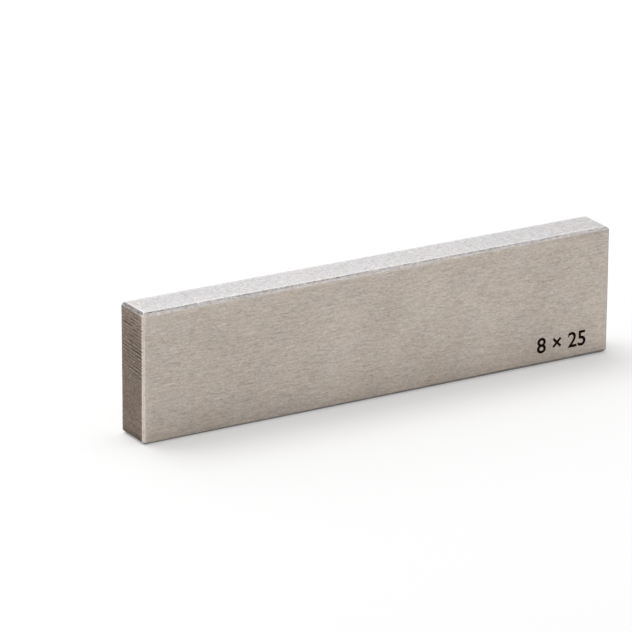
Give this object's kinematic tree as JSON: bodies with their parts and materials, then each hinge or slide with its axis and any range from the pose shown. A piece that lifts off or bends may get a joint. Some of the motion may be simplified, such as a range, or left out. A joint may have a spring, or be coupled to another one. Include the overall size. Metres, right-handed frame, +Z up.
{
  "type": "precision parallel",
  "caption": "Rectangular ground steel bar with parallel faces, bevelled edges and flattened corners, for setting a workpiece up off a machine table or vice bed.",
  "frame": {"origin": "middle of the long narrow face that the bar stands on", "axes": "+X along the length, +Y through the thickness towards the back side, +Z up the height; the marked side faces -Y"},
  "size_m": [0.1, 0.008, 0.025],
  "materials": {
    "ground_steel": "fine ground, with lengthwise grinding lines on the long faces and coarser lines across the two ends"
  },
  "bodies": {
    "root": {"parallel_bar": "ground_steel"}
  },
  "joints": []
}
